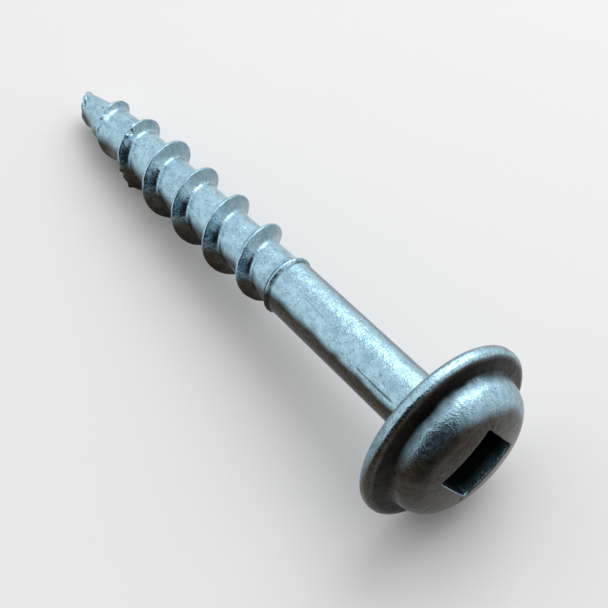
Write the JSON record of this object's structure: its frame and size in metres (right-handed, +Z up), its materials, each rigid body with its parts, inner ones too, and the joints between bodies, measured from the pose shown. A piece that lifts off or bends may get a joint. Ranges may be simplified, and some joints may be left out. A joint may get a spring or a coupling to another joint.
{
  "type": "pocket screw",
  "caption": "Coarse-thread pocket-hole wood screw: domed washer head with a square recess, plain shank and a blunt auger point, lying on its side.",
  "frame": {"origin": "centre of the flange's underside, the face that bears on the wood", "axes": "the screw lies on its side as it comes to rest, +Z up and its head towards +X, so that its tip points to -X and 6.2 degrees down"},
  "size_m": [0.0329, 0.009, 0.009],
  "materials": {
    "zinc_plated_steel": "bright zinc plating, finely pitted and scratched"
  },
  "bodies": {
    "root": {"pocket_screw": "zinc_plated_steel"}
  },
  "joints": []
}
